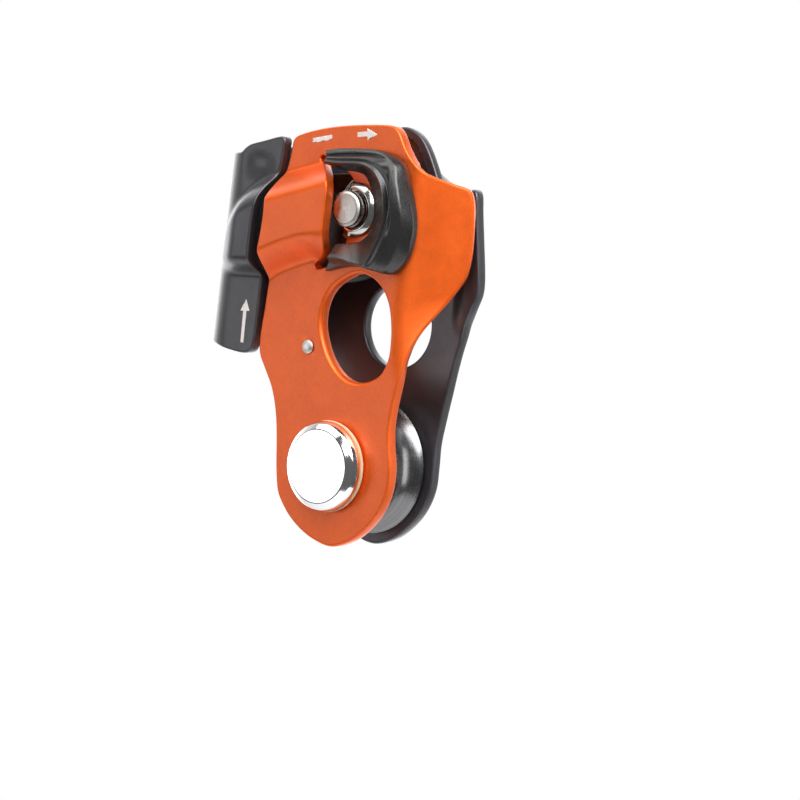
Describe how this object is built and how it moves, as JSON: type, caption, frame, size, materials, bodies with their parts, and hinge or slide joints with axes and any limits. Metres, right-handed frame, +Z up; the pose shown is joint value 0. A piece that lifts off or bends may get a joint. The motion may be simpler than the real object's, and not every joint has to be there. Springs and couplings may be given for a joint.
{
  "type": "rope clamp with pulley",
  "caption": "Rope clamp and pulley between two side plates: toothed cam facing a rope channel, grooved sheave on a ball bearing, swing-open front plate, carabiner eye.",
  "frame": {"origin": "centre of the carabiner eye that runs through both side plates, midway between the plates", "axes": "+Z up along the rope channel, towards the cam; -Y to the front, where the swing plate is; +X away from the rope channel"},
  "size_m": [0.0783, 0.0313, 0.107],
  "materials": {
    "orange_anodised": "satin anodised",
    "dark_anodised": "satin anodised",
    "dark_plastic": "fine grained",
    "polished_aluminium": "polished",
    "polished_steel": "polished",
    "brushed_steel": "turned or brushed",
    "cream_nylon": "smooth",
    "bronze": "plain bearing bronze"
  },
  "bodies": {
    "frame": {"fixed_side_plate": "dark_anodised", "sheave_axle": "polished_aluminium", "axle_rear_head": "polished_aluminium", "axle_washer": "cream_nylon", "axle_rear_washer": "brushed_steel", "front_spacer": "brushed_steel", "rear_spacer": "brushed_steel", "bearing_inner_race": "polished_steel", "cam_axle": "polished_steel", "cam_axle_rear_head": "polished_steel", "cam_rear_spacer": "brushed_steel", "cam_spring": "polished_steel"},
    "swing_plate": {"swing_side_plate": "orange_anodised", "thumb_guard": "dark_plastic", "wear_ring": "polished_steel", "stop_rivet": "polished_steel", "plate_bushing": "bronze"},
    "sheave_wheel": {"sheave": "polished_aluminium", "bearing_outer_race": "polished_steel"},
    "ball_set": {"bearing_cage": "bronze", "bearing_ball_1": "polished_steel", "bearing_ball_2": "polished_steel", "bearing_ball_3": "polished_steel", "bearing_ball_4": "polished_steel", "bearing_ball_5": "polished_steel", "bearing_ball_6": "polished_steel", "bearing_ball_7": "polished_steel", "bearing_ball_8": "polished_steel"},
    "cam_arm": {"cam": "brushed_steel", "cam_bushing": "bronze", "cam_lever": "dark_anodised", "lever_rivet_1": "polished_steel", "lever_rivet_2": "polished_steel"}
  },
  "joints": [
    {"name": "swing_plate_open", "type": "hinge", "parent": "frame", "child": "swing_plate", "pos_m": [-0.0028, -0.0104, -0.036], "axis": [0, 1, 0], "range_deg": [0, 110]},
    {"name": "sheave_spin", "type": "hinge", "parent": "frame", "child": "sheave_wheel", "pos_m": [-0.0028, 0, -0.036], "axis": [0, 1, 0], "continuous": true},
    {"name": "ball_set_spin", "type": "hinge", "parent": "frame", "child": "ball_set", "pos_m": [-0.0028, 0, -0.036], "axis": [0, 1, 0], "continuous": true},
    {"name": "cam_open", "type": "hinge", "parent": "frame", "child": "cam_arm", "pos_m": [-0.0042, -0.0006, 0.029], "axis": [0, -1, 0], "range_deg": [0, 30], "stiffness_Nm_per_rad": 0.06, "springref_deg": -28.65}
  ],
  "couplings": [
    {"joint": "ball_set_spin", "follows": "sheave_spin", "ratio": 0.584}
  ]
}
